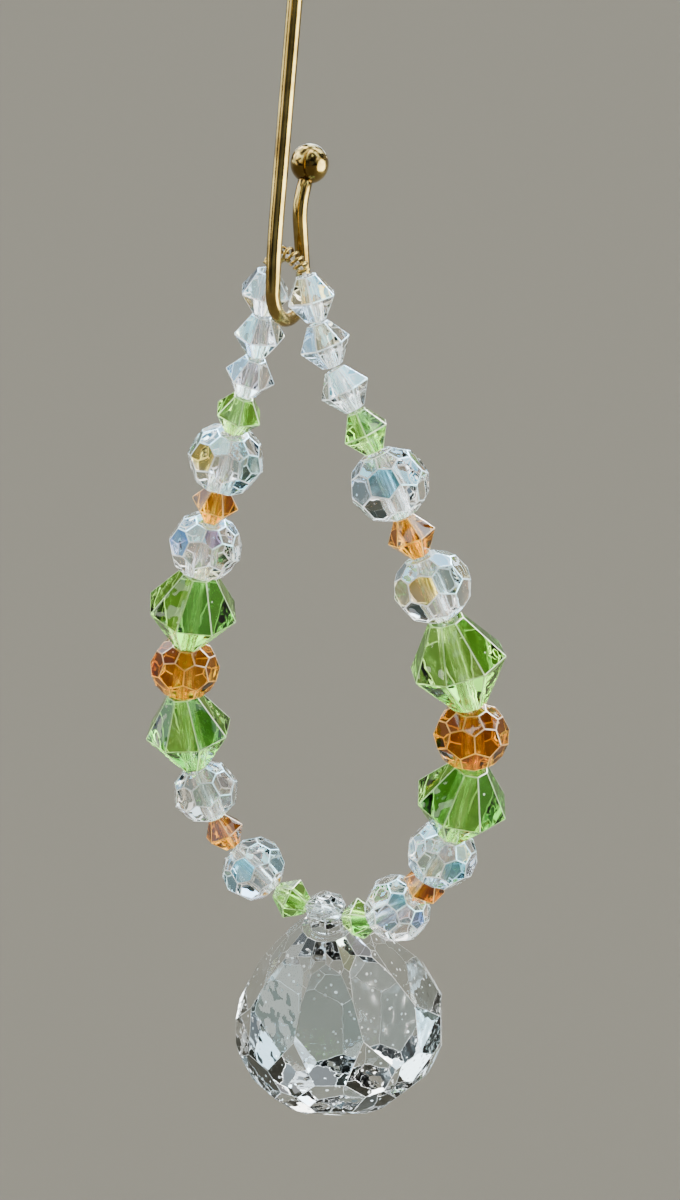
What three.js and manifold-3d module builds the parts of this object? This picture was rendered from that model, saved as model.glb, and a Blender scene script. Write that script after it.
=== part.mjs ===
// Crystal suncatcher: a teardrop loop of cut crystal beads and one large cut drop,
// strung on a thread and hung from a gold S-shaped wire hook.
// Millimetres, +Z up. The loop lies in the XZ plane and the hook in the YZ plane.
// The origin is where the hook's upper bend rests on whatever carries it.
import * as THREE from "three";
import { mergeVertices } from "three/addons/utils/BufferGeometryUtils.js";
import Module from "manifold-3d";

const wasm = await Module();
wasm.setup();

// ---------- Driving dimensions ----------

const degrees = Math.PI / 180;

// The two ends of the hook: a straight leg that flares outward to a ball.
const hook = {
  wire: 1.12,          // wire diameter
  ball: 2.9,           // diameter of the ball on each end
  upperRadius: 8,      // upper bend, to the wire's centre
  lowerRadius: 2.4,    // lower bend, to the wire's centre
  stemLean: 18,        // degrees from upright, so that both bends hang on one line
  easeRadius: 34,      // the slow curve where the stem runs into the lower bend
  easeTurn: 8.5,       // degrees that this curve turns
  lowerLeg: 4.3,       // straight part of the lower end
  lowerFlare: 36,      // degrees that the lower end turns outward
  upperLeg: 5,         // straight part of the upper end
  upperFlare: 40,      // degrees that the upper end turns outward
  flareRadius: 3.6,    // of both flares, to the wire's centre
  flareLength: 2.2,    // straight part between a flare and its ball's centre
  sides: 10,
  steps: 84,
  ballSegments: 18,
};

// Widths are across the corners of a bicone and across the facets of a round bead;
// end is the width of the small flat round each end of the hole.
const bicone = {
  small: { width: 4.1, length: 3.44, end: 1.7, sides: 6, hole: 1.0 },
  large: { width: 8.3, length: 7.95, end: 3.0, sides: 8, hole: 1.3 },
};
const round = {
  width: 5.8, length: 5.35, end: 2.5, sides: 8, hole: 1.2,
  beltTilt: 20,        // degrees from upright of the facets at the middle
  shoulderTilt: 55,    // degrees from upright of the facets near the ends
};
const beadGap = 0.18;  // clearance between neighbours on the thread
const beadSpin = 0.7;  // turn of each bead round the thread from the one above, radians
const restGap = 0.2;   // clearance of the first two beads over the hook's wire
const boreSides = 12;

const thread = { width: 0.36, sides: 6, steps: 150, endGap: 0.4 };

// The coil's outer diameter, its own wire, the distance between its turns, and how
// far from its middle the first bead on each side begins.
const coil = { outer: 1.34, wire: 0.3, pitch: 0.46, reach: 2.32, sides: 6, stepsPerTurn: 10 };

// Heights are from the centre of the hole that the thread runs through.
const drop = {
  sides: 8,
  knob: { width: 3.65, top: 2.1, shoulder: 0.9, hole: 1.4 },
  neck: { width: 3.3, top: -1.1, overlap: 0.3 },
  crownTop: -1.5,
  bottom: -21,
  swing: 3.2,          // degrees that the drop swings in the plane of the loop
  // Each tier: tilt above level in degrees, and a radius and height on its facets.
  // Short flutes round the neck, two to each long crown facet, then the tiers in
  // line with the crown facets, and the tiers set over their edges.
  flutes: { tilt: 45, radius: 2.5, height: -1.5 },
  inLine: [
    { tilt: 33.8, radius: 10.15, height: -12.1 },
    { tilt: -2, radius: 10.3, height: -12.3 },
    { tilt: -37, radius: 9.6, height: -16.7 },
  ],
  between: [
    { tilt: 38.8, radius: 2.95, height: -1.5 },
    { tilt: 22, radius: 10.15, height: -12.5 },
    { tilt: -17, radius: 10.25, height: -15.4 },
    { tilt: -58, radius: 5.9, height: -19.5 },
  ],
};

const colours = {
  clear: 0xeaf4f5,
  green: 0x8fcf6a,
  amber: 0xc87a12,
  gold: 0xd9c077,
  thread: 0xf2f2ee,
};

// Bead order on each side, from the hook down to the drop.
const strand = [
  ["clear", "small"], ["clear", "small"], ["clear", "small"], ["green", "small"],
  ["clear", "round"], ["amber", "small"], ["clear", "round"], ["green", "large"],
  ["amber", "round"], ["green", "large"], ["clear", "round"], ["amber", "small"],
  ["clear", "round"], ["green", "small"],
];

// The thread's route in the loop's plane, as x and z from the centre of the wire
// at the bottom of the hook: up over the coil, down the right side, through the
// drop and up the left side.
const route = [
  [-0.05, 5.15], [1.35, 4.05], [1.85, 1.85], [2.95, -2.1], [6.15, -8.5], [9.75, -16.7],
  [13.45, -26.2], [15.05, -34.6], [13.8, -42.6], [11.35, -50.1], [7.75, -56.4],
  [3.55, -59.1], [-0.45, -59.6], [-4.45, -59.2], [-8.85, -56.7], [-12.35, -50.4],
  [-14.35, -42.4], [-13.55, -34.6], [-11.45, -26.2], [-8.45, -17], [-5.65, -9.1],
  [-2.9, -2.1], [-2.15, 1.85], [-1.5, 4.1],
];

// ---------- Solids ----------

const samePoint = 1e-4;      // corners nearer than this are one corner
const onPlane = 1e-6;        // slack when a corner is tested against a facet
const parallel = 1e-7;       // facets nearer to parallel than this have no meeting point

function toSolid(geometry) {
  const bare = geometry.clone();
  bare.deleteAttribute("normal");
  bare.deleteAttribute("uv");
  const merged = mergeVertices(bare, samePoint / 10);
  return new wasm.Manifold(new wasm.Mesh({
    numProp: 3,
    vertProperties: new Float32Array(merged.attributes.position.array),
    triVerts: new Uint32Array(merged.index.array),
  }));
}

function toGeometry(solid) {
  const { vertProperties, triVerts } = solid.getMesh();
  const geometry = new THREE.BufferGeometry();
  geometry.setAttribute("position", new THREE.BufferAttribute(vertProperties, 3));
  geometry.setIndex(new THREE.BufferAttribute(triVerts, 1));
  geometry.computeVertexNormals();
  return geometry;
}

// One facet plane. It faces out at an azimuth round +Z and a tilt above level,
// and passes through the point at the given radius and height.
function facet(azimuth, tilt, radius, height) {
  const normal = new THREE.Vector3(
    Math.cos(tilt) * Math.cos(azimuth), Math.cos(tilt) * Math.sin(azimuth), Math.sin(tilt));
  return new THREE.Plane(normal, -(radius * Math.cos(tilt) + height * Math.sin(tilt)));
}

// A ring of equal facets, the first one at the azimuth of start.
function tier(sides, start, tilt, radius, height) {
  const step = 2 * Math.PI / sides;
  return Array.from({ length: sides }, (_, i) => facet(start + i * step, tilt, radius, height));
}

function meetingPoint(a, b, c) {
  const cross = new THREE.Vector3().crossVectors(b.normal, c.normal);
  const det = a.normal.dot(cross);
  if (Math.abs(det) < parallel) return null;
  return cross.multiplyScalar(-a.constant)
    .addScaledVector(new THREE.Vector3().crossVectors(c.normal, a.normal), -b.constant)
    .addScaledVector(new THREE.Vector3().crossVectors(a.normal, b.normal), -c.constant)
    .divideScalar(det);
}

// The convex stone that is left when everything outside each plane is ground off.
function cutStone(planes) {
  const corners = [];
  for (let i = 0; i < planes.length; i++) {
    for (let j = i + 1; j < planes.length; j++) {
      for (let k = j + 1; k < planes.length; k++) {
        const point = meetingPoint(planes[i], planes[j], planes[k]);
        if (!point || planes.some((plane) => plane.distanceToPoint(point) > onPlane)) continue;
        if (!corners.some((corner) => corner.distanceTo(point) < samePoint)) corners.push(point);
      }
    }
  }
  const faces = [];
  for (const plane of planes) {
    const ring = corners.map((_, index) => index)
      .filter((index) => Math.abs(plane.distanceToPoint(corners[index])) < samePoint);
    if (ring.length < 3) continue;
    const middle = new THREE.Vector3();
    ring.forEach((index) => middle.addScaledVector(corners[index], 1 / ring.length));
    const across = corners[ring[0]].clone().sub(middle).normalize();
    const along = new THREE.Vector3().crossVectors(plane.normal, across);
    const turn = (index) => {
      const arm = corners[index].clone().sub(middle);
      return Math.atan2(arm.dot(along), arm.dot(across));
    };
    ring.sort((a, b) => turn(a) - turn(b));
    for (let i = 1; i + 1 < ring.length; i++) faces.push(ring[0], ring[i], ring[i + 1]);
  }
  const geometry = new THREE.BufferGeometry().setFromPoints(corners);
  geometry.setIndex(faces);
  return geometry;
}

// A round rod along Z.
function rod(width, length) {
  const geometry = new THREE.CylinderGeometry(width / 2, width / 2, length, boreSides);
  return geometry.rotateX(Math.PI / 2);
}

// A stone with a hole along Z, drilled well past both its ends.
function bored(stone, width, length) {
  return toGeometry(toSolid(stone).subtract(toSolid(rod(width, length * 2))));
}

// A wire of round section along a curve.
function wireAlong(curve, width, sides, steps) {
  const section = new THREE.Shape(Array.from({ length: sides }, (_, i) => {
    const turn = 2 * Math.PI * i / sides;
    return new THREE.Vector2(Math.cos(turn), Math.sin(turn)).multiplyScalar(width / 2);
  }));
  return new THREE.ExtrudeGeometry(section, { steps, extrudePath: curve, bevelEnabled: false });
}

// ---------- Beads, each along Z about its own middle ----------

function biconeBead({ width, length, end, sides, hole }) {
  const flat = Math.cos(Math.PI / sides);
  const tilt = Math.atan2((width - end) / 2 * flat, length / 2);
  const start = Math.PI / sides;
  return bored(cutStone([
    ...tier(sides, start, tilt, width / 2 * flat, 0),
    ...tier(sides, start, -tilt, width / 2 * flat, 0),
    facet(0, Math.PI / 2, 0, length / 2),
    facet(0, -Math.PI / 2, 0, -length / 2),
  ]), hole, length);
}

function roundBead({ width, length, sides, beltTilt, shoulderTilt, hole }) {
  const step = 2 * Math.PI / sides;
  const radius = width / 2;
  const touching = (start, tilt) =>
    tier(sides, start, tilt, radius * Math.cos(tilt), radius * Math.sin(tilt));
  return bored(cutStone([
    ...touching(0, beltTilt * degrees),
    ...touching(step / 2, -beltTilt * degrees),
    ...touching(step / 2, shoulderTilt * degrees),
    ...touching(0, -shoulderTilt * degrees),
    facet(0, Math.PI / 2, 0, length / 2),
    facet(0, -Math.PI / 2, 0, -length / 2),
  ]), hole, length);
}

const beadShapes = {
  small: { ...bicone.small, geometry: biconeBead(bicone.small) },
  large: { ...bicone.large, geometry: biconeBead(bicone.large) },
  round: { ...round, geometry: roundBead(round) },
};

// ---------- Drop, its hole along X through the origin ----------

function dropStone() {
  const { sides, knob, neck, flutes, crownTop, bottom } = drop;
  const step = 2 * Math.PI / sides;
  const ground = (tiers, start) => tiers.flatMap(({ tilt, radius, height }) =>
    tier(sides, start, tilt * degrees, radius, height));
  const body = cutStone([
    facet(0, Math.PI / 2, 0, crownTop),
    ...tier(2 * sides, step / 4, flutes.tilt * degrees, flutes.radius, flutes.height),
    ...ground(drop.inLine, step / 2),
    ...ground(drop.between, 0),
    facet(0, -Math.PI / 2, 0, bottom),
  ]);
  const knobStone = cutStone([
    facet(0, Math.PI / 2, 0, knob.top),
    ...tier(sides, 0, 0, knob.width / 2, 0),
    ...tier(sides, 0, Math.PI / 4, knob.width / 2, knob.shoulder),
    facet(0, -Math.PI / 2, 0, neck.top),
  ]);
  const neckPost = rod(neck.width, neck.top - crownTop + 2 * neck.overlap);
  neckPost.translate(0, 0, (neck.top + crownTop) / 2);
  const drill = rod(knob.hole, knob.width * 2);
  drill.rotateY(Math.PI / 2);
  return toGeometry(toSolid(body).add(toSolid(neckPost)).add(toSolid(knobStone))
    .subtract(toSolid(drill)));
}

// ---------- Hook ----------

// A wire bent in the YZ plane: it starts at a point with a heading, measured in
// degrees from +Y towards +Z, and is made of straight runs and arcs.
function bentWire(start, heading, runs) {
  const path = new THREE.CurvePath();
  let at = start.clone();
  let angle = heading * degrees;
  for (const { straight, radius, turn } of runs) {
    const from = at.clone();
    const facing = angle;
    if (straight) {
      const forward = new THREE.Vector3(0, Math.cos(facing), Math.sin(facing));
      at = from.clone().addScaledVector(forward, straight);
      path.add(new THREE.LineCurve3(from, at));
      continue;
    }
    const side = Math.sign(turn);
    const along = (share) => {
      const swept = facing + turn * degrees * share;
      return new THREE.Vector3(0, side * (Math.sin(swept) - Math.sin(facing)),
        side * (Math.cos(facing) - Math.cos(swept))).multiplyScalar(radius).add(from);
    };
    const arc = new THREE.Curve();
    arc.getPoint = along;
    path.add(arc);
    at = along(1);
    angle = facing + turn * degrees;
  }
  return { path, end: at };
}

function reversed(curve) {
  const back = new THREE.Curve();
  back.getPoint = (share) => curve.getPoint(1 - share);
  return back;
}

// The straight of the stem is as long as it takes for the lowest point of the
// hook to hang right under the highest.
const stemTurn = 90 + hook.stemLean;
const bendTurn = stemTurn - hook.easeTurn;
const bendsReach = hook.upperRadius * Math.sin(stemTurn * degrees)
  - hook.easeRadius * (Math.sin(bendTurn * degrees) - Math.sin(stemTurn * degrees))
  + hook.lowerRadius * Math.sin(bendTurn * degrees);
const stemLength = bendsReach / Math.sin(hook.stemLean * degrees);

const top = new THREE.Vector3(0, 0, hook.wire / 2);
const lowerHalf = bentWire(top, 0, [
  { radius: hook.upperRadius, turn: -stemTurn },
  { straight: stemLength },
  { radius: hook.easeRadius, turn: hook.easeTurn },
  { radius: hook.lowerRadius, turn: bendTurn },
  { radius: hook.lowerRadius, turn: 90 },
  { straight: hook.lowerLeg },
  { radius: hook.flareRadius, turn: -hook.lowerFlare },
  { straight: hook.flareLength },
]);
const upperHalf = bentWire(top, 180, [
  { radius: hook.upperRadius, turn: 90 },
  { straight: hook.upperLeg },
  { radius: hook.flareRadius, turn: -hook.upperFlare },
  { straight: hook.flareLength },
]);
const hookBottom = lowerHalf.path.curves[3].getPoint(1);

function hookSolid() {
  const path = new THREE.CurvePath();
  [...upperHalf.path.curves].reverse().forEach((curve) => path.add(reversed(curve)));
  lowerHalf.path.curves.forEach((curve) => path.add(curve));
  let solid = toSolid(wireAlong(path, hook.wire, hook.sides, hook.steps));
  for (const end of [upperHalf.end, lowerHalf.end]) {
    const segments = hook.ballSegments;
    const ball = new THREE.SphereGeometry(hook.ball / 2, segments, segments * 2 / 3);
    ball.translate(end.x, end.y, end.z);
    solid = solid.add(toSolid(ball));
  }
  return toGeometry(solid);
}

// ---------- Stringing ----------

const routeDivisions = 2400;
const loop = new THREE.CatmullRomCurve3(
  route.map(([x, z]) => new THREE.Vector3(x, 0, hookBottom.z - restGap + z)), true, "centripetal");
loop.arcLengthDivisions = routeDivisions;
const loopLength = loop.getLength();
const along = (distance) =>
  loop.getPointAt(THREE.MathUtils.euclideanModulo(distance / loopLength, 1));


// The route's direction, from two points close on either side.
const close = 0.01;
const heading = (distance) => along(distance + close).sub(along(distance - close)).normalize();

// Room between two beads, so that their end flats stay clear where the thread bends.
function jointGap(upperShape, lowerShape, distance, side) {
  const before = heading(distance - side * upperShape.length / 2);
  const after = heading(distance + side * lowerShape.length / 2);
  return beadGap + Math.min(upperShape.end, lowerShape.end) / 2 * before.angleTo(after);
}

// Every bead's two ends on the route, one below the other from the coil to the drop.
function strungBeads(side) {
  let reach = coil.reach;
  return strand.map(([colour, shape], index) => {
    const bead = beadShapes[shape];
    const upper = along(side * reach);
    reach += bead.length;
    const lower = along(side * reach);
    if (index + 1 < strand.length) {
      reach += jointGap(bead, beadShapes[strand[index + 1][1]], side * reach, side);
    }
    return { colour, shape, geometry: bead.geometry, index, upper, lower };
  });
}

const rightBeads = strungBeads(1);
const leftBeads = strungBeads(-1);

function placedBead(bead, side) {
  const name = `${bead.colour}_${bead.shape}_bead_${side}_${String(bead.index + 1).padStart(2, "0")}`;
  const mesh = named(name, bead.geometry, bead.colour);
  mesh.position.copy(bead.upper).add(bead.lower).multiplyScalar(0.5);
  const axis = bead.upper.clone().sub(bead.lower).normalize();
  mesh.quaternion.setFromUnitVectors(new THREE.Vector3(0, 0, 1), axis);
  mesh.rotateZ(bead.index * beadSpin);
  return mesh;
}

// The fine gold coil that guards the thread over the hook.
function coilSolid() {
  const half = coil.reach - beadGap - coil.wire / 2;
  const turns = Math.round(2 * half / coil.pitch);
  const middle = coil.outer / 2 - coil.wire / 2;
  const helix = new THREE.Curve();
  helix.getPoint = (share) => {
    const distance = half * (2 * share - 1);
    const tangent = heading(distance);
    const outward = new THREE.Vector3(-tangent.z, 0, tangent.x);
    const turn = 2 * Math.PI * turns * share;
    return along(distance).addScaledVector(outward, middle * Math.cos(turn))
      .addScaledVector(new THREE.Vector3(0, 1, 0), middle * Math.sin(turn));
  };
  return wireAlong(helix, coil.wire, coil.sides, turns * coil.stepsPerTurn);
}

// The thread runs straight through each bead, round the coil, and its two ends
// meet inside the drop.
const lastRight = rightBeads.at(-1);
const lastLeft = leftBeads.at(-1);
const dropCentre = lastRight.lower.clone().add(lastLeft.lower).multiplyScalar(0.5);

function threadSolid() {
  const through = ({ upper, lower }) => [upper, upper.clone().lerp(lower, 0.5), lower];
  const underCoil = 5;
  const overHook = Array.from({ length: underCoil - 1 }, (_, i) =>
    along(coil.reach * (2 * (i + 1) / underCoil - 1)));
  const halfGap = new THREE.Vector3(thread.endGap / 2, 0, 0);
  const points = [
    dropCentre.clone().sub(halfGap),
    ...[...leftBeads].reverse().flatMap((bead) => through(bead).reverse()),
    ...overHook,
    ...rightBeads.flatMap(through),
    dropCentre.clone().add(halfGap),
  ];
  const path = new THREE.CatmullRomCurve3(points, false, "centripetal");
  path.arcLengthDivisions = routeDivisions;
  return wireAlong(path, thread.width, thread.sides, thread.steps);
}

// ---------- The part ----------

function named(name, geometry, colour) {
  const metal = colour === "gold";
  const material = new THREE.MeshStandardMaterial({
    color: colours[colour], roughness: metal ? 0.15 : 0.02, metalness: metal ? 1 : 0,
  });
  const mesh = new THREE.Mesh(geometry, material);
  mesh.name = name;
  return mesh;
}

const dropMesh = named("drop", dropStone(), "clear");
dropMesh.position.copy(dropCentre);
dropMesh.rotation.y = -drop.swing * degrees;

const group = new THREE.Group();
group.add(
  named("hook", hookSolid(), "gold"),
  named("thread_guard_coil", coilSolid(), "gold"),
  named("thread", threadSolid(), "thread"),
  ...rightBeads.map((bead) => placedBead(bead, "right")),
  ...leftBeads.map((bead) => placedBead(bead, "left")),
  dropMesh,
);

export default group;
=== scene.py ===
"""Looks of a crystal suncatcher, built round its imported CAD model.

A teardrop loop of cut crystal beads and a large faceted drop hang from a gold wire
hook. Each operator makes one piece or a group of like pieces; main() runs them all.
"""

import math

import bmesh
import bpy
from mathutils import Matrix, Vector, noise


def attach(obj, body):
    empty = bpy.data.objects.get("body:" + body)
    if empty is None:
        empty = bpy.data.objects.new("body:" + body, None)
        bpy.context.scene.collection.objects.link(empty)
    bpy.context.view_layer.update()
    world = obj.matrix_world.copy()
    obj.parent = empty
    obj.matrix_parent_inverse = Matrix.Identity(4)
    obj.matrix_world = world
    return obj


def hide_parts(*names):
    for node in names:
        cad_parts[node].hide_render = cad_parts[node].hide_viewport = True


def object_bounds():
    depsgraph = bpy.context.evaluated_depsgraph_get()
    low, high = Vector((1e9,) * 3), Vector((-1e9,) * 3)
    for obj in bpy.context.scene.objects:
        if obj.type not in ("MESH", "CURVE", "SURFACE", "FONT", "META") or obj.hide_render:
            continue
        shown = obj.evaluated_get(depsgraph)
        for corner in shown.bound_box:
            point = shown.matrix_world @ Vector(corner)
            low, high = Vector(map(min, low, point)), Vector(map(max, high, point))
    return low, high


bl_info = {
    "name": "Crystal Suncatcher",
    "version": (1, 0, 0),
    "blender": (4, 5, 0),
    "location": "View3D > Sidebar > Suncatcher",
    "description": "Builds the looks of a hanging crystal suncatcher",
    "category": "Object",
}

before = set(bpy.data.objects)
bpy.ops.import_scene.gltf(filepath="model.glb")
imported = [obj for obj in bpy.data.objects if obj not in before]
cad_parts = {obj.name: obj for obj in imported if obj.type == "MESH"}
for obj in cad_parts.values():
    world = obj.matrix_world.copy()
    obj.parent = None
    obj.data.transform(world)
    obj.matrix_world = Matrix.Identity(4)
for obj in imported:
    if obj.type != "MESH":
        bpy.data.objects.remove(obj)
CAD_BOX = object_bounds()

MM = 0.001
DEGREE = math.pi / 180

# ---------- The hook's wire, in millimetres and degrees ----------

UPPER_RADIUS, LOWER_RADIUS = 8.0, 2.4    # of the two bends, to the wire's centre
STEM_LEAN = 18.0                         # of the straight stem, from upright
EASE_RADIUS, EASE_TURN = 34.0, 8.5       # the slow curve from the stem to the lower bend
UPPER_LEG, LOWER_LEG = 5.0, 4.3          # straight part of each end
UPPER_FLARE, LOWER_FLARE = 40.0, 36.0    # how far each end turns outward
FLARE_RADIUS, FLARE_LENGTH = 3.6, 2.2    # of that turn, and on from it to the ball's centre
WIRE_TOP = 0.52                          # height of its centre at the top of the upper bend
ARC_STEP = 4.0                           # turn from one ring of the wire to the next
LEAST_STEPS = 4                          # rings of the shortest arc

# ---------- Cutting the stones ----------

SHARP_EDGE = 5 * DEGREE       # facets that meet at more than this get an eased edge
FLAT_EDGE = 0.6 * DEGREE      # faces that meet at less than this are one facet
END_ALIGNMENT = 0.98          # how squarely a bead's end flat faces along its hole
MOUTH_EASE = 0.16             # rounding of a hole's mouth, as a share of its radius
MERGE_DISTANCE = 0.001 * MM
JOIN_LIMIT = 0.7              # joined triangles fold and differ from a square by less, radians

# ---------- Glass ----------

# Tints that the facets of a stone take by chance. The first is the glass's main colour.
TINTS = {
    "clear": [
        (0.97, 0.99, 1.0), (0.90, 0.98, 1.0), (0.97, 0.99, 1.0), (0.45, 0.86, 1.0),
        (0.99, 0.99, 0.99), (0.94, 0.99, 1.0), (0.72, 0.76, 1.0), (0.97, 0.99, 1.0),
        (1.0, 0.96, 0.55), (0.92, 0.98, 1.0), (0.62, 0.98, 0.86), (0.99, 0.99, 0.99),
        (0.94, 0.99, 1.0), (0.36, 0.60, 1.0), (0.97, 0.99, 1.0), (0.80, 0.96, 1.0),
    ],
    "green": [
        (0.19, 0.62, 0.04), (0.32, 0.76, 0.08), (0.08, 0.42, 0.03), (0.42, 0.82, 0.14),
        (0.24, 0.68, 0.05), (0.52, 0.90, 0.20),
    ],
    "amber": [
        (0.60, 0.17, 0.001), (0.42, 0.09, 0.001), (0.76, 0.29, 0.004), (0.30, 0.05, 0.001),
        (0.64, 0.21, 0.002),
    ],
    "drop": [
        (0.985, 0.99, 1.0), (0.94, 0.98, 1.0), (0.99, 0.99, 0.99), (0.72, 0.91, 1.0),
        (0.99, 0.99, 0.95), (0.86, 0.96, 1.0),
    ],
}
# Painted highlight: the eased edges between facets take these colours, paler than the green and
# amber glass, so that they read as bright lines.
EDGE_HIGHLIGHT_TINTS = {
    "clear": (1.0, 1.0, 1.0),
    "green": (0.68, 0.98, 0.44),
    "amber": (1.0, 0.58, 0.10),
    "drop": (1.0, 1.0, 1.0),
}

# Each glass's material, its refraction and its coating's, how much its polishing clouds
# darken it, the share of its cells that hold a speck, and the depth of its ripple.
GLASS = {
    "clear": ("coated_clear_glass", 1.56, 1.85, 0.03, 0.05, 0.11 * MM),
    "green": ("green_glass", 1.55, 1.33, 0.06, 0.05, 0.10 * MM),
    "amber": ("amber_glass", 1.55, 1.33, 0.06, 0.05, 0.10 * MM),
    "drop": ("clear_drop_crystal", 1.52, 1.33, 0.02, 0.6, 0.03 * MM),
}
BORE_REFRACTION = 1.55
THREAD_REFRACTION, THREAD_CLEARNESS = 1.53, 0.7

# What turns a facet's direction and its stone's number into one of the tints.
FACET_SPREAD = 7.3
STONE_STEP = (3.7, 1.9, 5.3)
TINT_PICKS = 997
DROP_NUMBER = 3

# Colours of the painted flashes below.
COBALT, BLUE, CYAN = (0.001, 0.004, 0.24), (0.06, 0.16, 0.75), (0.05, 0.46, 0.86)
YELLOW, PINK, LAVENDER = (0.96, 0.64, 0.03), (0.90, 0.17, 0.38), (0.38, 0.30, 0.90)
LIME, TEAL = (0.30, 0.90, 0.30), (0.16, 0.50, 0.42)
ICE, SKY = (0.50, 0.82, 1.0), (0.60, 0.90, 1.0)
STRAW, LILAC = (0.86, 0.94, 0.52), (0.74, 0.72, 1.0)

# Painted flashes: strong colours painted on facets that face the camera, standing in for the
# coloured light that the coating or the cut throws. Each gives how far to the right and up from
# the front the facet looks, and its colour.
FRONT = Vector((0.413, -0.764, 0.496))
PAINTED_FLASHES = {
    "clear_small_bead_left_01": [(-0.4, 0.4, YELLOW)],
    "clear_small_bead_left_02": [(0.7, -0.1, BLUE)],
    "clear_small_bead_left_03": [(-0.5, 0.3, CYAN), (0.2, 0.5, CYAN)],
    "clear_small_bead_right_03": [(0.3, -0.5, CYAN), (0.9, -0.3, PINK)],
    "clear_round_bead_left_05": [(-0.6, 0.1, YELLOW), (0.5, 0.0, YELLOW), (0.9, 0.1, BLUE)],
    "clear_round_bead_left_07": [(-0.5, 0.0, COBALT), (0.1, 0.2, CYAN), (0.6, 0.4, LAVENDER)],
    "clear_round_bead_left_11": [(-0.1, -0.5, COBALT), (0.4, -0.4, YELLOW)],
    "clear_round_bead_left_13": [(-0.3, 0.3, CYAN)],
    "clear_round_bead_right_05": [(0.1, 0.1, CYAN), (0.7, 0.1, LAVENDER)],
    "clear_round_bead_right_07": [(-0.6, 0.0, YELLOW), (0.7, -0.3, CYAN)],
    "clear_round_bead_right_11": [(-0.1, 0.2, BLUE), (0.5, 0.2, YELLOW), (0.2, -0.6, CYAN)],
    "clear_round_bead_right_13": [(-0.2, -0.4, PINK), (0.2, 0.3, CYAN), (0.6, -0.1, BLUE)],
    "amber_small_bead_left_06": [(0.7, 0.1, PINK)],
    "amber_round_bead_left_09": [(0.4, 0.4, LIME), (0.8, -0.1, LAVENDER)],
    "green_large_bead_right_10": [(0.7, 0.3, LAVENDER), (-0.2, 0.3, TEAL)],
    "drop": [(-1.1, -0.1, ICE), (1.0, 0.0, SKY), (0.35, 0.5, STRAW), (0.8, 0.6, LILAC)],
}
# How much of a facet takes its painted flash's colour.
FLASH_STRENGTH, FLASH_FADE = 1.25, 0.6    # at the facet's middle, and out towards its rim

# ---------- The stage ----------

# Each lamp's name, place and width in metres, power in watts, and colour.
SOFT_LAMPS = [
    ("back", (0.10, 0.55, 0.20), 0.14, 60.0, (1.0, 0.98, 0.95)),
    ("top", (-0.30, 0.20, 0.42), 0.14, 46.0, (0.96, 0.99, 1.0)),
    ("side", (0.55, 0.10, 0.05), 0.12, 32.0, (1.0, 1.0, 0.94)),
]
RIM_LAMP = ("rim", (0.28, 0.08, -0.10), 0.34, 3.0, (0.94, 1.0, 0.84))
GOLD_PIECES = ("bent_wire_hook", "wound_guard_coil")

ROOM_COLOUR, ROOM_STRENGTH = (1.0, 0.92, 0.80), 0.32
PANEL_CELLS = 4.0                           # cells of the panels to a unit of direction
PANEL_TURN = 200 * DEGREE
WINDOW_SIDE = (-0.45, 0.83, 0.32)
AWAY, FACING = -0.6, 0.45                   # how squarely a panel faces the window's side
AWAY_STRENGTH, FACING_STRENGTH = 0.3, 9.0
PANELS = [
    (0.0, (0.004, 0.004, 0.003)), (0.22, (0.04, 0.04, 0.04)), (0.40, (0.30, 0.34, 0.36)),
    (0.58, (0.72, 0.90, 1.0)), (0.80, (1.0, 0.99, 0.93)),
]

FLOOR_REACH = 8.0             # metres from its middle to each side
AZIMUTH, ELEVATION, ROLL = 28.4 * DEGREE, 29.7 * DEGREE, 3.0 * DEGREE
LENS, SENSOR = 43.8, 36       # millimetres
AIM = Vector((3.015, 0, -68.83))
DISTANCE = 122.2              # millimetres, from the aim to the camera
NEAR, FAR = 0.005, 20         # metres that the camera sees between


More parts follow.
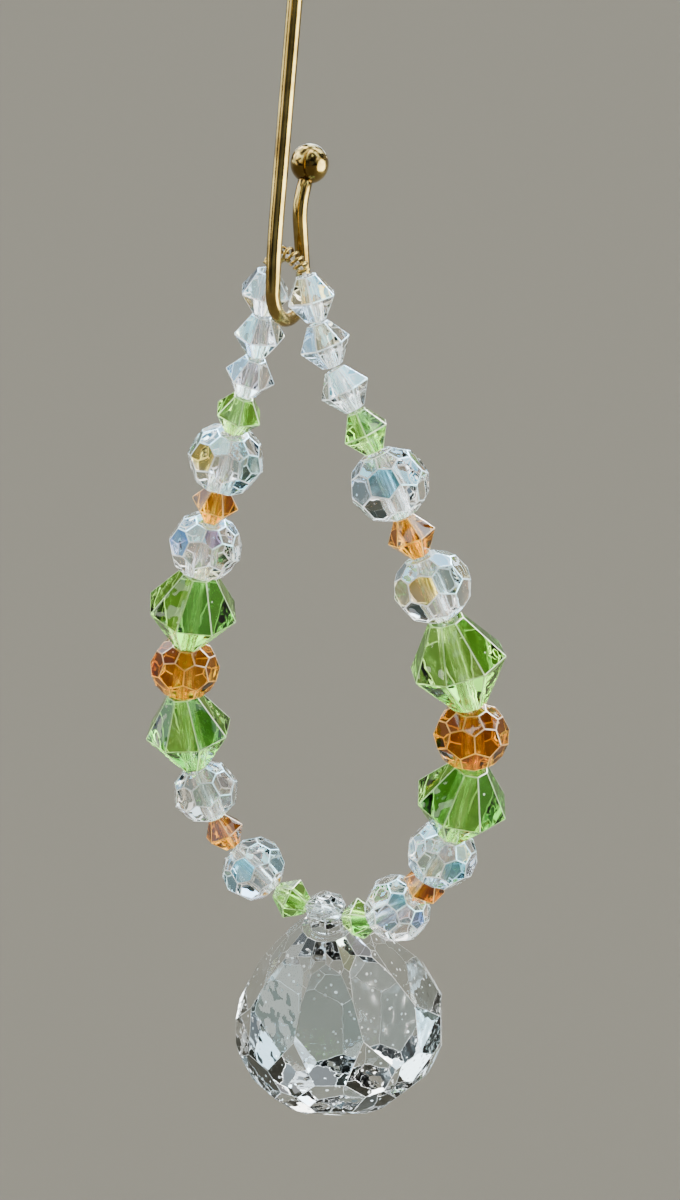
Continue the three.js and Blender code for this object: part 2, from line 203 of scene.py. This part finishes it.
class SuncatcherSettings(bpy.types.PropertyGroup):
    """Sizes and colours of the finish that the looks add to the model."""

    edge_width: bpy.props.FloatProperty(
        name="Bead edges", description="Width of the polished edge between a bead's facets",
        default=0.07 * MM, subtype="DISTANCE", unit="LENGTH")
    drop_edge_width: bpy.props.FloatProperty(
        name="Drop edges", description="Width of the polished edge between the drop's facets",
        default=0.154 * MM, subtype="DISTANCE", unit="LENGTH")
    bore_sides: bpy.props.IntProperty(
        name="Bore sides", description="Sides of each bead's round hole", default=24)
    wire_sides: bpy.props.IntProperty(
        name="Wire sides", description="Sides of the hook's round wire", default=28)
    wire_width: bpy.props.FloatProperty(
        name="Wire", description="Thickness of the hook's wire",
        default=1.12 * MM, subtype="DISTANCE", unit="LENGTH")
    ball_width: bpy.props.FloatProperty(
        name="Balls", description="Width of the ball on each end of the hook",
        default=2.9 * MM, subtype="DISTANCE", unit="LENGTH")
    floor_drop: bpy.props.FloatProperty(
        name="Floor drop", description="Distance from the drop down to the floor",
        default=90 * MM, subtype="DISTANCE", unit="LENGTH")
    coating: bpy.props.FloatProperty(
        name="Coating", description="Thickness of the clear beads' rainbow coating, nanometres",
        default=200.0, min=0.0)
    clear_glass: bpy.props.FloatVectorProperty(
        name="Clear glass", description="Main colour of the clear beads",
        default=TINTS["clear"][0], min=0.0, max=1.0, subtype="COLOR")
    green_glass: bpy.props.FloatVectorProperty(
        name="Green glass", description="Main colour of the green beads",
        default=TINTS["green"][0], min=0.0, max=1.0, subtype="COLOR")
    amber_glass: bpy.props.FloatVectorProperty(
        name="Amber glass", description="Main colour of the amber beads",
        default=TINTS["amber"][0], min=0.0, max=1.0, subtype="COLOR")
    drop_glass: bpy.props.FloatVectorProperty(
        name="Drop glass", description="Main colour of the large drop",
        default=TINTS["drop"][0], min=0.0, max=1.0, subtype="COLOR")
    bright_gold: bpy.props.FloatVectorProperty(
        name="Bright gold", description="Colour of the hook and the coil where they are clean",
        default=(0.54, 0.38, 0.12), min=0.0, max=1.0, subtype="COLOR")
    dark_gold: bpy.props.FloatVectorProperty(
        name="Dark gold", description="Colour of the hook and the coil where they are dull",
        default=(0.17, 0.10, 0.025), min=0.0, max=1.0, subtype="COLOR")
    floor_colour: bpy.props.FloatVectorProperty(
        name="Floor", description="Colour of the floor",
        default=(0.155, 0.135, 0.108), min=0.0, max=1.0, subtype="COLOR")


# ---------- Nodes ----------

def math_node(tree, operation, first, second):
    """A maths node in the tree; first and second are sockets or numbers."""
    node = tree.nodes.new("ShaderNodeMath")
    node.operation = operation
    for socket, value in zip(node.inputs, (first, second)):
        if isinstance(value, bpy.types.NodeSocket):
            tree.links.new(value, socket)
        else:
            socket.default_value = value
    return node.outputs["Value"]


def map_range(tree, value, low, high, to_low, to_high):
    """Maps a value from one range to another; the target's ends are sockets or numbers."""
    node = tree.nodes.new("ShaderNodeMapRange")
    tree.links.new(value, node.inputs["Value"])
    node.inputs["From Min"].default_value = low
    node.inputs["From Max"].default_value = high
    for label, end in (("To Min", to_low), ("To Max", to_high)):
        if isinstance(end, bpy.types.NodeSocket):
            tree.links.new(end, node.inputs[label])
        else:
            node.inputs[label].default_value = end
    return node.outputs["Result"]


def colour_ramp(tree, value, stops, interpolation="LINEAR"):
    """Turns a value into a colour; each stop is a position and a colour."""
    node = tree.nodes.new("ShaderNodeValToRGB")
    ramp = node.color_ramp
    ramp.interpolation = interpolation
    for element, (position, colour) in zip(ramp.elements, (stops[0], stops[-1])):
        element.position = position
        element.color = (*colour, 1)
    for position, colour in stops[1:-1]:
        ramp.elements.new(position).color = (*colour, 1)
    tree.links.new(value, node.inputs["Fac"])
    return node.outputs["Color"]


def texture(tree, kind, coordinates, **values):
    """A texture node of this kind; values are its inputs, by their own names."""
    node = tree.nodes.new(kind)
    for label, value in values.items():
        node.inputs[label].default_value = value
    tree.links.new(coordinates, node.inputs["Vector"])
    return node


def piece_coordinates(tree):
    """Places on a piece, for patterns that stay with it."""
    return tree.nodes.new("ShaderNodeTexCoord").outputs["Object"]


def raise_surface(tree, shader, height, strength, distance):
    """Bumps a shader's surface by a height."""
    bump = tree.nodes.new("ShaderNodeBump")
    bump.inputs["Strength"].default_value = strength
    bump.inputs["Distance"].default_value = distance
    tree.links.new(height, bump.inputs["Height"])
    tree.links.new(bump.outputs["Normal"], shader.inputs["Normal"])


def facet_polish_group():
    """A stone's facet tint, with the painted flashes and painted edge highlights that it
    carries, faint polishing clouds, eased edges and dust specks.
    """
    group = bpy.data.node_groups.get("FacetPolish")
    if group:
        return group
    group = bpy.data.node_groups.new("FacetPolish", "ShaderNodeTree")
    for label, value in (("Clouds", 0.05), ("Edge Roughness", 0.5), ("Specks", 0.1)):
        socket = group.interface.new_socket(label, in_out="INPUT", socket_type="NodeSocketFloat")
        socket.default_value = value
    for label, kind in (("Color", "NodeSocketColor"), ("Roughness", "NodeSocketFloat"),
                        ("Height", "NodeSocketFloat")):
        group.interface.new_socket(label, in_out="OUTPUT", socket_type=kind)
    nodes, links = group.nodes, group.links
    source = nodes.new("NodeGroupInput").outputs
    result = nodes.new("NodeGroupOutput").inputs
    place = piece_coordinates(group)

    # The facet tint carries the painted flashes and painted edge highlights.
    tint = nodes.new("ShaderNodeAttribute")
    tint.attribute_name = "facet_tint_and_painted_light"
    cloud = texture(group, "ShaderNodeTexNoise", place, Scale=900.0, Detail=3.0).outputs["Fac"]
    cloudiest = math_node(group, "SUBTRACT", 1.0, source["Clouds"])
    shade = nodes.new("ShaderNodeVectorMath")
    shade.operation = "SCALE"
    links.new(tint.outputs["Color"], shade.inputs[0])
    links.new(map_range(group, cloud, low=0.3, high=0.7, to_low=1.0, to_high=cloudiest),
              shade.inputs["Scale"])
    links.new(shade.outputs["Vector"], result["Color"])

    speck_radius, speck_roughness, most_smear = 0.15, 0.6, 0.03
    cells = texture(group, "ShaderNodeTexVoronoi", place, Scale=1100.0)
    chance = nodes.new("ShaderNodeSeparateColor")
    links.new(cells.outputs["Color"], chance.inputs["Color"])
    chosen = math_node(group, "LESS_THAN", chance.outputs["Red"], source["Specks"])
    near = math_node(group, "LESS_THAN", cells.outputs["Distance"], speck_radius)
    speck = math_node(group, "MULTIPLY", chosen, near)
    dusty = math_node(group, "MULTIPLY", speck, speck_roughness)
    edge = math_node(group, "SUBTRACT", 1.0, tint.outputs["Alpha"])
    eased = math_node(group, "MULTIPLY", edge, source["Edge Roughness"])
    smear = map_range(group, cloud, low=0.45, high=0.75, to_low=0.0, to_high=most_smear)
    marked = math_node(group, "MAXIMUM", dusty, eased)
    links.new(math_node(group, "MAXIMUM", marked, smear), result["Roughness"])

    lap = texture(group, "ShaderNodeTexNoise", place, Scale=650.0, Detail=1.0)
    links.new(lap.outputs["Fac"], result["Height"])
    return group


# ---------- Materials ----------

def material_named(name, build, *details):
    """The material of this name; its nodes are built when it is first asked for."""
    material = bpy.data.materials.get(name)
    if material is None:
        material = bpy.data.materials.new(name)
        material.use_nodes = True
        tree = material.node_tree
        build(tree, tree.nodes["Principled BSDF"], *details)
    return material


def cloud_surface(tree, shader, place, scale, detail, stops, smooth, rough):
    """Gives a shader a cloudy base colour, and a roughness that follows the clouds."""
    cloud = texture(tree, "ShaderNodeTexNoise", place, Scale=scale, Detail=detail).outputs["Fac"]
    tree.links.new(colour_ramp(tree, cloud, stops), shader.inputs["Base Color"])
    tree.links.new(map_range(tree, cloud, 0.0, 1.0, smooth, rough), shader.inputs["Roughness"])


def crystal(tree, shader, film, ior, film_ior, clouds, specks, ripple):
    """Cut and polished glass, with a thin coating where film is over 0 nanometres."""
    shader.inputs["Metallic"].default_value = 0.0
    shader.inputs["Transmission Weight"].default_value = 1.0
    shader.inputs["IOR"].default_value = ior
    shader.inputs["Thin Film Thickness"].default_value = film
    shader.inputs["Thin Film IOR"].default_value = film_ior
    polish = tree.nodes.new("ShaderNodeGroup")
    polish.node_tree = facet_polish_group()
    polish.inputs["Clouds"].default_value = clouds
    polish.inputs["Specks"].default_value = specks
    tree.links.new(polish.outputs["Color"], shader.inputs["Base Color"])
    tree.links.new(polish.outputs["Roughness"], shader.inputs["Roughness"])
    raise_surface(tree, shader, polish.outputs["Height"], strength=1.0, distance=ripple)


def ground_glass(tree, shader):
    """Frosted wall of a drilled hole."""
    shader.inputs["Metallic"].default_value = 0.0
    shader.inputs["Transmission Weight"].default_value = 1.0
    shader.inputs["IOR"].default_value = BORE_REFRACTION
    cloud_surface(tree, shader, piece_coordinates(tree), scale=3000.0, detail=2.0,
                  stops=[(0.0, (0.93, 0.95, 0.95)), (1.0, (1.0, 1.0, 1.0))],
                  smooth=0.12, rough=0.3)


def gold_wire(tree, shader, dark, bright):
    """Polished gold plate with faint dull patches and fine scratches."""
    shader.inputs["Metallic"].default_value = 1.0
    place = piece_coordinates(tree)
    cloud_surface(tree, shader, place, scale=420.0, detail=6.0,
                  stops=[(0.32, dark), (0.62, bright)], smooth=0.10, rough=0.24)
    fine = texture(tree, "ShaderNodeTexNoise", place, Scale=2600.0, Detail=4.0)
    raise_surface(tree, shader, fine.outputs["Fac"], strength=0.06, distance=0.02 * MM)


def nylon(tree, shader):
    """Clear thread, a little milky."""
    shader.inputs["Metallic"].default_value = 0.0
    shader.inputs["Transmission Weight"].default_value = THREAD_CLEARNESS
    shader.inputs["IOR"].default_value = THREAD_REFRACTION
    cloud_surface(tree, shader, piece_coordinates(tree), scale=1500.0, detail=2.0,
                  stops=[(0.0, (0.86, 0.87, 0.86)), (1.0, (0.98, 0.98, 0.97))],
                  smooth=0.12, rough=0.3)


def matt_floor(tree, shader, colour):
    """Plain floor without a sheen."""
    shader.inputs["Base Color"].default_value = (*colour, 1)
    shader.inputs["Roughness"].default_value = 1.0
    shader.inputs["Specular IOR Level"].default_value = 0.0


def crystal_material(kind, film=0.0):
    """The material of one glass; film is its coating's thickness in nanometres."""
    name, *finish = GLASS[kind]
    return material_named(name, crystal, film, *finish)


def gold_material(settings):
    """The gold of the hook and the coil, in the user's colours."""
    return material_named("polished_gold_wire", gold_wire, settings.dark_gold,
                          settings.bright_gold)


# ---------- Shared making ----------

def add_piece(name, bm, material, node):
    """Turns a bmesh into an object that rides on the model and stands for a CAD node."""
    mesh = bpy.data.meshes.new(name)
    bm.to_mesh(mesh)
    bm.free()
    piece = bpy.data.objects.new(name, mesh)
    bpy.context.scene.collection.objects.link(piece)
    mesh.materials.append(material)
    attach(piece, "root")
    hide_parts(node)
    return piece


def cad_copy(node):
    """A merged copy of a CAD node's mesh."""
    bm = bmesh.new()
    bm.from_mesh(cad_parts[node].data)
    bmesh.ops.remove_doubles(bm, verts=bm.verts, dist=MERGE_DISTANCE)
    return bm


def verts_in(geometry):
    """The corners in what a bmesh operator returns."""
    return [item for item in geometry if isinstance(item, bmesh.types.BMVert)]


def edges_in(geometry):
    """The edges in what a bmesh operator returns."""
    return [item for item in geometry if isinstance(item, bmesh.types.BMEdge)]


def ring_edges(bm, sides, radius, matrix):
    """The edges of a new open ring."""
    ring = bmesh.ops.create_circle(bm, segments=sides, radius=radius, matrix=matrix)
    return list({edge for vert in ring["verts"] for edge in vert.link_edges})


# ---------- Stones ----------

def glass_tints(kind, settings):
    """A glass's tints, all shifted as the user's main colour is from the first of them."""
    tints = TINTS[kind]
    shift = [chosen / first
             for chosen, first in zip(getattr(settings, kind + "_glass"), tints[0])]
    return [Vector([value * factor for value, factor in zip(tint, shift)]) for tint in tints]


def tint_facets(bm, kind, number, eased, painted_flashes, settings):
    """Gives each facet its own tint, a painted flash of colour on the facets given for the
    stone, and a paler painted highlight on the eased edges between facets, whose alpha is 0.
    """
    bm.faces.index_update()
    layer = bm.loops.layers.float_color.new("facet_tint_and_painted_light")
    tints = glass_tints(kind, settings)
    right = Vector((0, 0, 1)).cross(FRONT).normalized()
    up = FRONT.cross(right)
    towards = (up + right).normalized()
    facets = [face for face in bm.faces if face not in eased]
    struck = {}
    # Painted flashes: the facet that faces most nearly each given way from the camera is struck
    # with a strong colour.
    for across, above, shine in painted_flashes:
        way = (FRONT + right * across + up * above).normalized()
        struck[max(facets, key=lambda face: face.normal.dot(way)).index] = shine
    for face in bm.faces:
        cell = face.normal * FACET_SPREAD + Vector([number * step for step in STONE_STEP])
        plain = tints[int(abs(noise.cell(cell)) * TINT_PICKS) % len(tints)]
        shine = Vector(struck.get(face.index, plain))
        centre = face.calc_center_median()
        reach = max((loop.vert.co - centre).length for loop in face.loops)
        # A painted flash fades part way back to the plain tint towards its facet's lower left.
        for loop in face.loops:
            out = (loop.vert.co - centre).dot(towards) / reach
            share = min(1, FLASH_STRENGTH + FLASH_FADE * out)
            if face in eased:
                # Painted highlight: an eased edge takes the paler edge colour of its glass.
                loop[layer] = (*EDGE_HIGHLIGHT_TINTS[kind], 0.0)
            else:
                loop[layer] = (*plain.lerp(shine, share), 1.0)


def merge_flat_faces(bm):
    """Joins the faces that lie in one plane into one facet."""
    bmesh.ops.dissolve_limit(bm, angle_limit=FLAT_EDGE, verts=bm.verts, edges=bm.edges)


def bevel_edges(bm, width):
    """Eases every edge between facets and returns the narrow faces that it makes."""
    edges = [edge for edge in bm.edges
             if len(edge.link_faces) == 2 and edge.calc_face_angle(0) > SHARP_EDGE]
    out = bmesh.ops.bevel(bm, geom=edges, offset=width, offset_type="OFFSET", affect="EDGES",
                          segments=2, profile=0.5, material=-1, clamp_overlap=True)
    return set(out["faces"])


def hull_of(bm):
    """Fills a bored stone's hole: only its convex outside is left."""
    hull = bmesh.ops.convex_hull(bm, input=bm.verts)["geom"]
    keep = {item for item in hull if isinstance(item, bmesh.types.BMFace)}
    outside = {vert for face in keep for vert in face.verts}
    spare = [face for face in bm.faces if face not in keep]
    bmesh.ops.delete(bm, geom=spare, context="FACES_ONLY")
    inside = [vert for vert in bm.verts if vert not in outside]
    bmesh.ops.delete(bm, geom=inside, context="VERTS")
    loose = [edge for edge in bm.edges if not edge.link_faces]
    bmesh.ops.delete(bm, geom=loose, context="EDGES")
    merge_flat_faces(bm)
    bmesh.ops.recalc_face_normals(bm, faces=bm.faces)


def bore_of(bm):
    """A drilled stone's axis, its middle, half its length, and the radius of its hole."""
    centre = sum((vert.co for vert in bm.verts), Vector()) / len(bm.verts)
    walls = [face for face in bm.faces
             if face.normal.dot(face.calc_center_median() - centre) < 0]
    first = walls[0].normal
    across = max(walls, key=lambda face: face.normal.cross(first).length).normal
    axis = first.cross(across).normalized()
    corners = {vert for face in walls for vert in face.verts}
    along = [(vert.co - centre).dot(axis) for vert in corners]
    middle = centre + axis * (max(along) + min(along)) / 2
    radius = max((vert.co - middle - axis * (vert.co - middle).dot(axis)).length
                 for vert in corners)
    return axis, middle, (max(along) - min(along)) / 2, radius


def cut_bore(bm, axis, middle, reach, radius, sides):
    """Drills a round hole between a stone's two end flats, its mouths eased."""
    flats = [max((face for face in bm.faces if end * face.normal.dot(axis) > END_ALIGNMENT),
                 key=lambda face: face.calc_area()) for end in (-1, 1)]
    outlines = [list(flat.edges) for flat in flats]
    bmesh.ops.delete(bm, geom=flats, context="FACES_ONLY")
    ease = radius * MOUTH_EASE
    turned = axis.to_track_quat("Z", "Y").to_matrix().to_4x4()
    mouth = Matrix.Translation(middle - axis * reach) @ turned
    rings = [ring_edges(bm, sides, radius + ease, mouth)]
    for along, size in ((ease - reach, radius), (reach - ease, radius), (reach, radius + ease)):
        out = bmesh.ops.extrude_edge_only(bm, edges=rings[-1])["geom"]
        for vert in verts_in(out):
            spoke = vert.co - middle
            spoke -= axis * spoke.dot(axis)
            vert.co = middle + axis * along + spoke.normalized() * size
        rings.append(edges_in(out))

    # The walls have to point into the hole before they are joined to the end flats.
    ends = [{face for edge in ring for face in edge.link_faces} for ring in rings[1:3]]
    tube = list(ends[0] & ends[1])
    tube[0].normal_update()
    if tube[0].normal.dot(tube[0].calc_center_median() - middle) > 0:
        bmesh.ops.reverse_faces(bm, faces=list(ends[0] | ends[1]))
    for outline, ring in zip(outlines, (rings[0], rings[-1])):
        bmesh.ops.bridge_loops(bm, edges=outline + ring)
    for face in tube:
        face.smooth = True
        face.material_index = 1
    for edge in rings[1] + rings[2]:
        edge.smooth = False
    bmesh.ops.recalc_face_normals(bm, faces=bm.faces)


class SUNCATCHER_OT_beads(bpy.types.Operator):
    """Make the cut crystal beads, with polished edges and round holes"""

    bl_idname = "suncatcher.beads"
    bl_label = "Beads"

    def execute(self, context):
        settings = context.scene.suncatcher
        nodes = sorted(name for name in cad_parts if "_bead_" in name)
        for number, node in enumerate(nodes):
            kind = node.split("_")[0]
            bm = cad_copy(node)
            bore = bore_of(bm)
            hull_of(bm)
            eased = bevel_edges(bm, settings.edge_width)
            cut_bore(bm, *bore, settings.bore_sides)
            tint_facets(bm, kind, number, eased, PAINTED_FLASHES.get(node, ()), settings)
            material = crystal_material(kind, settings.coating if kind == "clear" else 0.0)
            piece = add_piece("cut_" + node, bm, material, node)
            piece.data.materials.append(material_named("ground_bore", ground_glass))
        return {"FINISHED"}


class SUNCATCHER_OT_drop(bpy.types.Operator):
    """Make the large faceted drop with its cross-drilled knob"""

    bl_idname = "suncatcher.drop"
    bl_label = "Drop"

    def execute(self, context):
        settings = context.scene.suncatcher
        bm = cad_copy("drop")
        merge_flat_faces(bm)
        eased = bevel_edges(bm, settings.drop_edge_width)
        tint_facets(bm, "drop", DROP_NUMBER, eased, PAINTED_FLASHES["drop"], settings)
        add_piece("cut_drop", bm, crystal_material("drop"), "drop")
        return {"FINISHED"}


# ---------- Hook, coil and thread ----------

def stem_length():
    """The stem's straight, as long as it takes to hang both bends on one upright line."""
    leaning = (90 + STEM_LEAN) * DEGREE
    eased = (90 + STEM_LEAN - EASE_TURN) * DEGREE
    reach = (UPPER_RADIUS * math.sin(leaning)
             - EASE_RADIUS * (math.sin(eased) - math.sin(leaning))
             + LOWER_RADIUS * math.sin(eased))
    return reach / math.sin(STEM_LEAN * DEGREE)


def hook_ends():
    """The wire up from the upper ball to the top of the hook, and on to the lower ball.

    Each run is a length and no turn, or an arc's radius and its turn.
    """
    rising = [
        (FLARE_LENGTH, 0), (FLARE_RADIUS, UPPER_FLARE), (UPPER_LEG, 0), (UPPER_RADIUS, -90),
    ]
    falling = [
        (UPPER_RADIUS, -90 - STEM_LEAN), (stem_length(), 0), (EASE_RADIUS, EASE_TURN),
        (LOWER_RADIUS, 90 + STEM_LEAN - EASE_TURN), (LOWER_RADIUS, 90), (LOWER_LEG, 0),
        (FLARE_RADIUS, -LOWER_FLARE), (FLARE_LENGTH, 0),
    ]
    return [[(size * MM, turn * DEGREE) for size, turn in runs] for runs in (rising, falling)]


def heading(angle):
    """A direction in the hook's plane; the angle turns it up from +Y."""
    return Vector((0, math.cos(angle), math.sin(angle)))


def arc_centre(at, angle, radius, turn):
    """The centre of an arc that passes a point at this heading."""
    return at + Vector((0, -math.sin(angle), math.cos(angle))) * math.copysign(radius, turn)


def go_back(runs, at, angle):
    """Where runs that end at a point and heading began, and their heading there."""
    for size, turn in reversed(runs):
        if turn:
            centre = arc_centre(at, angle, size, turn)
            at = centre + Matrix.Rotation(-turn, 3, "X") @ (at - centre)
            angle -= turn
        else:
            at = at - heading(angle) * size
    return at, angle


def bend_wire(bm, runs, at, angle, radius, sides):
    """Draws a round wire along straights and arcs in one plane; returns where it ends."""
    edges = ring_edges(bm, sides, radius,
                       Matrix.Translation(at) @ Matrix.Rotation(angle - math.pi / 2, 4, "X"))
    for size, turn in runs:
        if turn:
            centre = arc_centre(at, angle, size, turn)
            verts = list({vert for edge in edges for vert in edge.verts})
            steps = max(LEAST_STEPS, int(abs(turn) / (ARC_STEP * DEGREE)))
            out = bmesh.ops.spin(bm, geom=verts + edges, cent=centre, axis=(1, 0, 0),
                                 dvec=(0, 0, 0), angle=turn, steps=steps)
            edges = edges_in(out["geom_last"])
            at = centre + Matrix.Rotation(turn, 3, "X") @ (at - centre)
            angle += turn
        else:
            out = bmesh.ops.extrude_edge_only(bm, edges=edges)["geom"]
            bmesh.ops.translate(bm, verts=verts_in(out), vec=heading(angle) * size)
            edges = edges_in(out)
            at = at + heading(angle) * size
    bmesh.ops.holes_fill(bm, edges=[edge for edge in bm.edges if edge.is_boundary], sides=0)
    return at


class SUNCATCHER_OT_hook(bpy.types.Operator):
    """Bend the smooth round wire hook and put a ball on each end"""

    bl_idname = "suncatcher.hook"
    bl_label = "Hook"

    def execute(self, context):
        settings = context.scene.suncatcher
        rising, falling = hook_ends()
        start, angle = go_back(rising, Vector((0, 0, WIRE_TOP * MM)), 0.0)
        bm = bmesh.new()
        end = bend_wire(bm, rising + falling, start, angle, settings.wire_width / 2,
                        settings.wire_sides)
        for ball in (start, end):
            bmesh.ops.create_uvsphere(bm, u_segments=40, v_segments=24,
                                      radius=settings.ball_width / 2,
                                      matrix=Matrix.Translation(ball))
        bmesh.ops.recalc_face_normals(bm, faces=bm.faces)
        for face in bm.faces:
            face.smooth = True
        add_piece("bent_wire_hook", bm, gold_material(settings), "hook")
        return {"FINISHED"}


def add_smoothed(name, material, node):
    """Adds a copy of a CAD node with its triangles joined and its surface rounded."""
    bm = cad_copy(node)
    bmesh.ops.join_triangles(bm, faces=bm.faces, angle_face_threshold=JOIN_LIMIT,
                             angle_shape_threshold=JOIN_LIMIT)
    for face in bm.faces:
        face.smooth = True
    piece = add_piece(name, bm, material, node)
    rounding = piece.modifiers.new("Rounding", "SUBSURF")
    rounding.levels = 1
    rounding.render_levels = 1


class SUNCATCHER_OT_coil_and_thread(bpy.types.Operator):
    """Smooth the gold guard coil and the clear thread"""

    bl_idname = "suncatcher.coil_and_thread"
    bl_label = "Coil and Thread"

    def execute(self, context):
        gold = gold_material(context.scene.suncatcher)
        add_smoothed("wound_guard_coil", gold, "thread_guard_coil")
        clear = material_named("clear_nylon_thread", nylon)
        add_smoothed("clear_thread", clear, "thread")
        return {"FINISHED"}


# ---------- Stage ----------

def add_floor(scene):
    """The plain floor, well below the drop."""
    settings = scene.suncatcher
    bm = bmesh.new()
    bmesh.ops.create_grid(bm, x_segments=1, y_segments=1, size=FLOOR_REACH)
    bmesh.ops.translate(bm, verts=bm.verts, vec=(0, 0, CAD_BOX[0].z - settings.floor_drop))
    mesh = bpy.data.meshes.new("floor")
    bm.to_mesh(mesh)
    bm.free()
    floor = bpy.data.objects.new("floor", mesh)
    scene.collection.objects.link(floor)
    mesh.materials.append(material_named("pale_floor", matt_floor, settings.floor_colour))


def add_lamp(scene, name, place, width, power, colour, mirrored=False):
    """A round lamp that faces the loop: it lights glass, and metal too if mirrored."""
    lamp = bpy.data.lights.new(name, "AREA")
    lamp.shape = "DISK"
    lamp.size = width
    lamp.energy = power
    lamp.color = colour
    holder = bpy.data.objects.new(name, lamp)
    scene.collection.objects.link(holder)
    holder.location = Vector(place)
    holder.visible_camera = False
    holder.visible_diffuse = False
    holder.visible_glossy = mirrored
    middle = (CAD_BOX[0] + CAD_BOX[1]) / 2
    holder.rotation_mode = "QUATERNION"
    holder.rotation_quaternion = (middle - holder.location).to_track_quat("-Z", "Y")
    return holder


def add_rim_lamp(scene):
    """A lamp that puts a bright line on the gold pieces alone."""
    rim = add_lamp(scene, *RIM_LAMP, mirrored=True)
    rim.visible_transmission = False
    gold = bpy.data.collections.new("gold_pieces")
    for name in GOLD_PIECES:
        gold.objects.link(bpy.data.objects[name])
    rim.light_linking.receiver_collection = gold


def add_surroundings(scene):
    """An even pale room; glass and metal see bright panels and dark cards in it."""
    world = bpy.data.worlds.new("soft_studio")
    scene.world = world
    world.use_nodes = True
    tree = world.node_tree
    nodes, links = tree.nodes, tree.links
    room = nodes["Background"]
    room.inputs["Color"].default_value = (*ROOM_COLOUR, 1)
    room.inputs["Strength"].default_value = ROOM_STRENGTH

    direction = nodes.new("ShaderNodeTexCoord").outputs["Generated"]
    turn = nodes.new("ShaderNodeMapping")
    turn.inputs["Rotation"].default_value = (0, 0, PANEL_TURN)
    links.new(direction, turn.inputs["Vector"])
    cells = texture(tree, "ShaderNodeTexVoronoi", turn.outputs["Vector"], Scale=PANEL_CELLS)
    pick = nodes.new("ShaderNodeSeparateColor")
    links.new(cells.outputs["Color"], pick.inputs["Color"])
    window = nodes.new("ShaderNodeVectorMath")
    window.operation = "DOT_PRODUCT"
    window.inputs[1].default_value = WINDOW_SIDE
    links.new(direction, window.inputs[0])
    panels = nodes.new("ShaderNodeBackground")
    strength = map_range(tree, window.outputs["Value"], AWAY, FACING, AWAY_STRENGTH,
                         FACING_STRENGTH)
    links.new(strength, panels.inputs["Strength"])
    links.new(colour_ramp(tree, pick.outputs["Red"], PANELS, "CONSTANT"),
              panels.inputs["Color"])

    path = nodes.new("ShaderNodeLightPath")
    mix = nodes.new("ShaderNodeMixShader")
    links.new(path.outputs["Is Camera Ray"], mix.inputs["Fac"])
    links.new(panels.outputs["Background"], mix.inputs[1])
    links.new(room.outputs["Background"], mix.inputs[2])
    links.new(mix.outputs["Shader"], nodes["World Output"].inputs["Surface"])


def add_camera(scene):
    """The camera, to the right of the loop, above it, and a little tilted."""
    back = Vector((math.sin(AZIMUTH) * math.cos(ELEVATION),
                   -math.cos(AZIMUTH) * math.cos(ELEVATION), math.sin(ELEVATION)))
    right = Vector((math.cos(AZIMUTH), math.sin(AZIMUTH), 0))
    up = back.cross(right)
    tilted_right = right * math.cos(ROLL) - up * math.sin(ROLL)
    tilted_up = right * math.sin(ROLL) + up * math.cos(ROLL)
    data = bpy.data.cameras.new("camera")
    data.sensor_width = SENSOR
    data.lens = LENS
    data.clip_start = NEAR
    data.clip_end = FAR
    camera = bpy.data.objects.new("camera", data)
    scene.collection.objects.link(camera)
    camera.rotation_mode = "QUATERNION"
    turned = Matrix((tilted_right, tilted_up, back)).transposed()
    camera.rotation_quaternion = turned.to_quaternion()
    camera.location = AIM * MM + back * DISTANCE * MM
    scene.camera = camera


class SUNCATCHER_OT_stage(bpy.types.Operator):
    """Set up the pale floor, the soft lights and the camera"""

    bl_idname = "suncatcher.stage"
    bl_label = "Stage"

    def execute(self, context):
        scene = context.scene
        add_floor(scene)
        for lamp in SOFT_LAMPS:
            add_lamp(scene, *lamp)
        add_rim_lamp(scene)
        add_surroundings(scene)
        add_camera(scene)
        return {"FINISHED"}


# ---------- Add-on ----------

class SUNCATCHER_PT_panel(bpy.types.Panel):
    """Settings, and a button for each group of pieces"""

    bl_idname = "SUNCATCHER_PT_panel"
    bl_label = "Suncatcher"
    bl_space_type = "VIEW_3D"
    bl_region_type = "UI"
    bl_category = "Suncatcher"

    def draw(self, context):
        settings = context.scene.suncatcher
        for name in SuncatcherSettings.__annotations__:
            self.layout.prop(settings, name)
        for operator in OPERATORS:
            self.layout.operator(operator.bl_idname)


OPERATORS = (
    SUNCATCHER_OT_hook,
    SUNCATCHER_OT_coil_and_thread,
    SUNCATCHER_OT_beads,
    SUNCATCHER_OT_drop,
    SUNCATCHER_OT_stage,
)
CLASSES = (SuncatcherSettings, *OPERATORS, SUNCATCHER_PT_panel)


def register():
    """Adds the settings, the operators and the panel."""
    for item in CLASSES:
        bpy.utils.register_class(item)
    bpy.types.Scene.suncatcher = bpy.props.PointerProperty(type=SuncatcherSettings)


def unregister():
    """Takes them away again."""
    del bpy.types.Scene.suncatcher
    for item in reversed(CLASSES):
        bpy.utils.unregister_class(item)


def main():
    """Makes the whole suncatcher and its stage."""
    register()
    bpy.ops.suncatcher.hook()
    bpy.ops.suncatcher.coil_and_thread()
    bpy.ops.suncatcher.beads()
    bpy.ops.suncatcher.drop()
    bpy.ops.suncatcher.stage()


if __name__ == "__main__":
    main()
